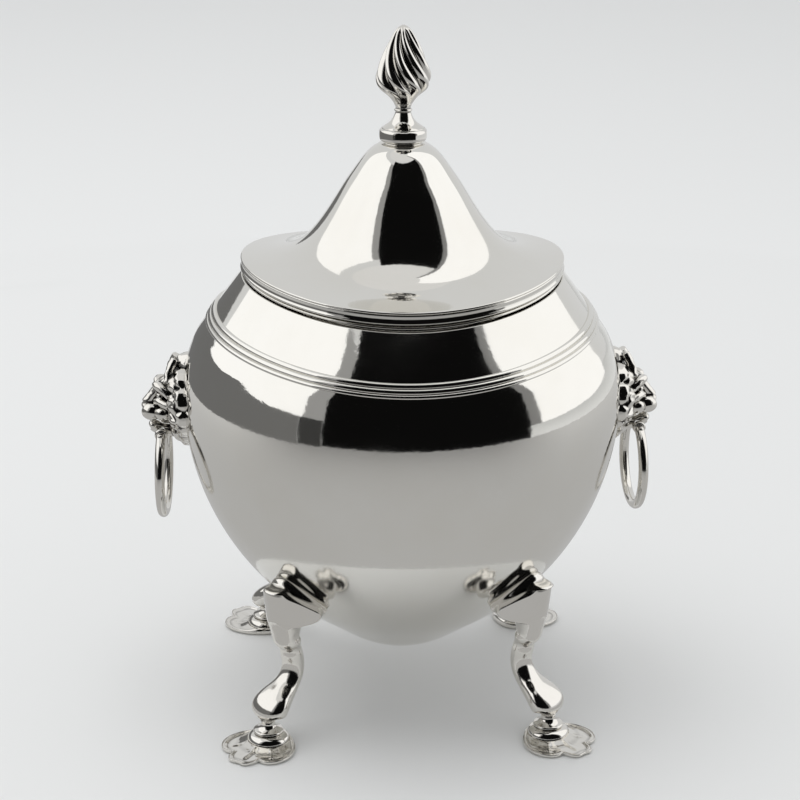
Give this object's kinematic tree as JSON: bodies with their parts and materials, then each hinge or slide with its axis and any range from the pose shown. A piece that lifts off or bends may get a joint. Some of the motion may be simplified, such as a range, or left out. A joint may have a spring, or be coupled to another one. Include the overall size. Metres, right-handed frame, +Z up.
{
  "type": "footed sugar bowl",
  "caption": "Footed silver sugar bowl: egg-shaped bowl with a bowed mouth, lift-off bell lid with twisted flame finial, lion-mask drop rings and cast legs.",
  "frame": {"origin": "centre of the four feet on the surface the bowl stands on", "axes": "+Z up along the bowl's axis, +X towards the right drop ring, -Y towards the front"},
  "size_m": [0.1136, 0.092, 0.1442],
  "materials": {
    "polished_silver": "polished",
    "cast_silver": "polished cast, darker in the recesses"
  },
  "bodies": {
    "bowl": {"bowl_shell": "polished_silver", "mouth_wire": "polished_silver", "reeded_band": "polished_silver", "leg_front_left": "cast_silver", "foot_front_left": "cast_silver", "leg_front_right": "cast_silver", "foot_front_right": "cast_silver", "leg_back_left": "cast_silver", "foot_back_left": "cast_silver", "leg_back_right": "cast_silver", "foot_back_right": "cast_silver", "lion_mask_left": "cast_silver", "ring_pin_left": "cast_silver", "lion_mask_right": "cast_silver", "ring_pin_right": "cast_silver"},
    "lid": {"lid_shell": "polished_silver", "lid_rim_wire": "polished_silver", "lid_bezel": "polished_silver", "finial_collar": "cast_silver", "finial_stem": "cast_silver", "finial_flame": "cast_silver", "finial_stud": "cast_silver", "finial_washer": "cast_silver", "finial_nut": "cast_silver"},
    "ring_left": {"ring_left": "cast_silver"},
    "ring_right": {"ring_right": "cast_silver"}
  },
  "joints": [
    {"name": "lid_lift", "type": "slide", "parent": "bowl", "child": "lid", "axis": [0, 0, 1], "range_m": [0, 0.06]},
    {"name": "ring_left_swing", "type": "hinge", "parent": "bowl", "child": "ring_left", "pos_m": [-0.05051, 0.00309, 0.0582], "axis": [0.061, 0.9981, 0], "range_deg": [-25, 120]},
    {"name": "ring_right_swing", "type": "hinge", "parent": "bowl", "child": "ring_right", "pos_m": [0.05051, 0.00309, 0.0582], "axis": [0.061, -0.9981, 0], "range_deg": [-25, 120]}
  ]
}
